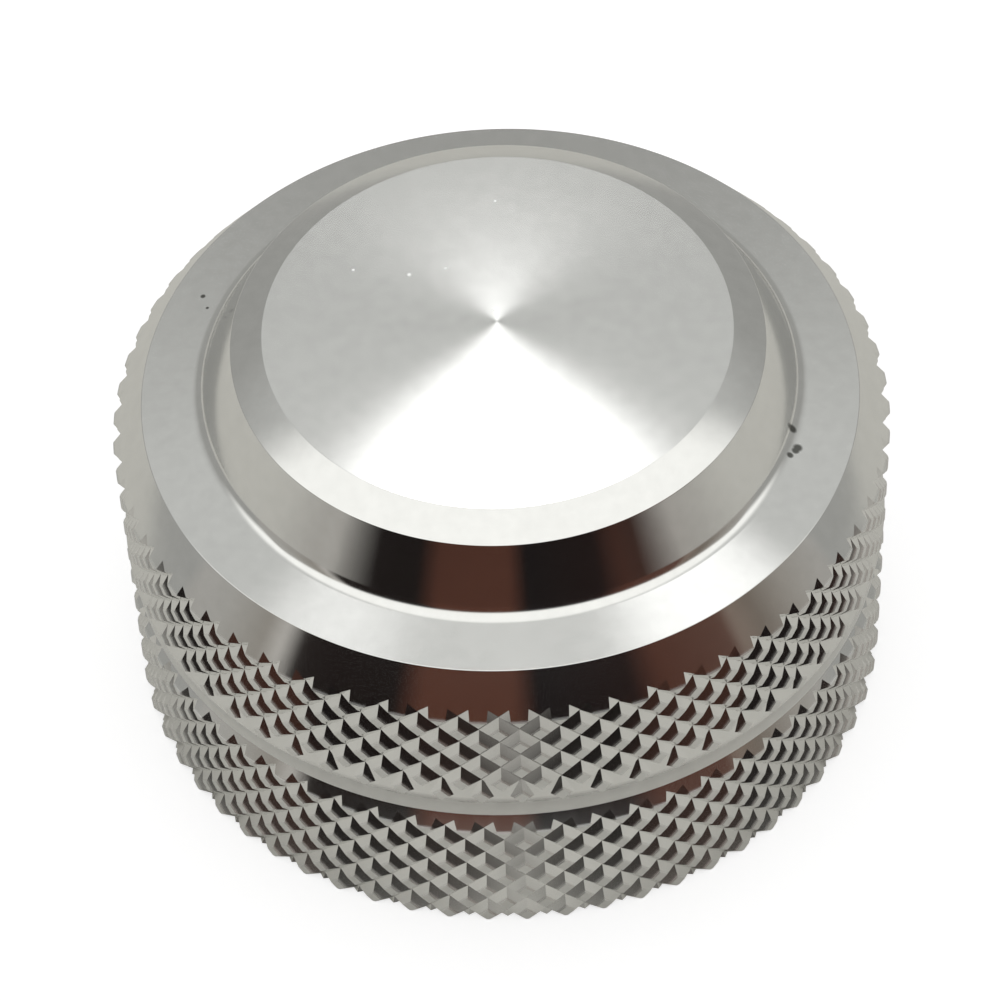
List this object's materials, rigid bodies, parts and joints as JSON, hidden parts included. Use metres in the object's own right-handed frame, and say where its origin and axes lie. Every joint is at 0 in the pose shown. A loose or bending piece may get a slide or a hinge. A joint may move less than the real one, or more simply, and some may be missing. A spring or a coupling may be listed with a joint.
{
  "type": "reel brake knob",
  "caption": "Knurled metal brake knob of a bait-casting reel, a screw cap with seal ring and thrust discs inside.",
  "frame": {"origin": "centre of the flat mouth rim that the knob stands on", "axes": "+Z along the knob's axis, from the mouth towards the crown"},
  "size_m": [0.02, 0.02, 0.0119],
  "materials": {
    "turned_aluminium": "polished",
    "seal_rubber": "matte",
    "shim_brass": "polished",
    "pad_plastic": "matte"
  },
  "bodies": {
    "root": {"knob_body": "turned_aluminium", "seal_ring": "seal_rubber", "thrust_shim": "shim_brass", "friction_pad": "pad_plastic"}
  },
  "joints": []
}
